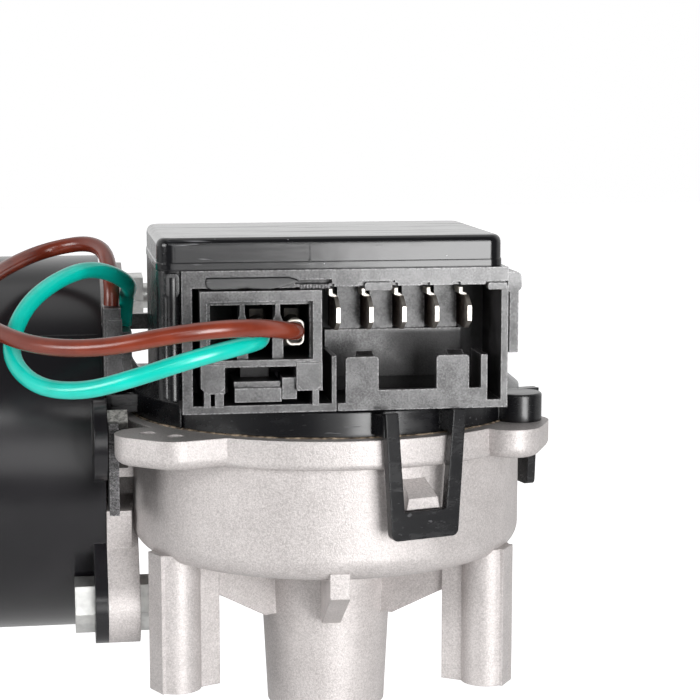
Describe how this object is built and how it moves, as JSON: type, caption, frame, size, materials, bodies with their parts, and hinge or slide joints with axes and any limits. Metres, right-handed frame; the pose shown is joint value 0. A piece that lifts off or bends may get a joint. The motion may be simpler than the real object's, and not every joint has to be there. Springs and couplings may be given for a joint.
{
  "type": "geared wiper motor",
  "caption": "Geared windscreen wiper motor: steel-cased motor beside a die-cast worm gear case; its clip-on cover carries a control box, open blade socket and wired plug.",
  "frame": {"origin": "on the output shaft's axis, in the plane of the faces of the mounting feet", "axes": "+Z along the output shaft from its threaded end up to the control box; the motor lies along X behind the shaft and points to -X; the sockets open to -Y"},
  "size_m": [0.1872, 0.1405, 0.1288],
  "materials": {
    "cast_aluminium": "cast, matt",
    "sintered_bronze": "sintered",
    "seal_rubber": "moulded",
    "turned_steel": "turned",
    "zinc_steel": "zinc plated",
    "acetal": "natural acetal",
    "ferrite": "ground",
    "copper": "enamelled copper",
    "black_paint": "satin",
    "matt_black": "moulded, matt",
    "carbon": "carbon",
    "gloss_black": "gloss",
    "tinned_brass": "tin plated",
    "board_green": "laminate",
    "brown_pvc": "extruded",
    "green_pvc": "extruded"
  },
  "bodies": {
    "housing": {"gear_case": "cast_aluminium", "output_bush_lower": "sintered_bronze", "output_bush_upper": "sintered_bronze", "shaft_seal": "seal_rubber", "thrust_washer": "turned_steel", "worm_end_bush": "sintered_bronze", "thrust_screw": "zinc_steel", "thrust_lock_nut": "zinc_steel", "bearing_outer_ring": "turned_steel", "motor_yoke": "black_paint", "field_magnets": "ferrite", "magnet_clips": "zinc_steel", "rear_bush": "sintered_bronze", "bearing_retainer": "zinc_steel", "brush_plate": "matt_black", "brush_holders": "zinc_steel", "brush_spring_upper": "turned_steel", "brush_spring_lower": "turned_steel", "gear_cover": "gloss_black", "cover_seal": "seal_rubber", "box_lid": "gloss_black", "connector_housing": "matt_black", "power_blades": "tinned_brass", "motor_blades": "tinned_brass", "plug_housing": "matt_black", "plug_terminals": "tinned_brass", "circuit_board": "board_green", "relay": "gloss_black", "park_sensor": "gloss_black", "yoke_bolts": "zinc_steel", "yoke_nuts": "zinc_steel", "ear_screw": "zinc_steel", "brown_lead": "brown_pvc", "green_lead": "green_pvc"},
    "armature": {"armature_shaft": "turned_steel", "armature_core": "ferrite", "armature_windings": "copper", "commutator": "copper", "bearing_inner_ring": "turned_steel", "bearing_balls": "turned_steel"},
    "output": {"output_shaft": "turned_steel", "worm_wheel": "acetal", "park_magnet": "ferrite", "shaft_circlip": "turned_steel"},
    "brush_upper": {"carbon_brush_upper": "carbon"},
    "brush_lower": {"carbon_brush_lower": "carbon"}
  },
  "joints": [
    {"name": "armature_spin", "type": "hinge", "parent": "housing", "child": "armature", "pos_m": [-0.0454, 0.034, 0.042], "axis": [1, 0, 0], "continuous": true},
    {"name": "output_spin", "type": "hinge", "parent": "housing", "child": "output", "pos_m": [0, 0, 0.042], "axis": [0, 0, 1], "continuous": true},
    {"name": "brush_upper_slide", "type": "slide", "parent": "housing", "child": "brush_upper", "axis": [0, 0, 1], "range_m": [0, 0.002], "stiffness_N_per_m": 500, "springref_m": -0.004, "deforming": ["brush_spring_upper"]},
    {"name": "brush_lower_slide", "type": "slide", "parent": "housing", "child": "brush_lower", "axis": [0, 0, -1], "range_m": [0, 0.002], "stiffness_N_per_m": 500, "springref_m": -0.004, "deforming": ["brush_spring_lower"]}
  ],
  "couplings": [
    {"joint": "output_spin", "follows": "armature_spin", "ratio": 0.021739}
  ]
}
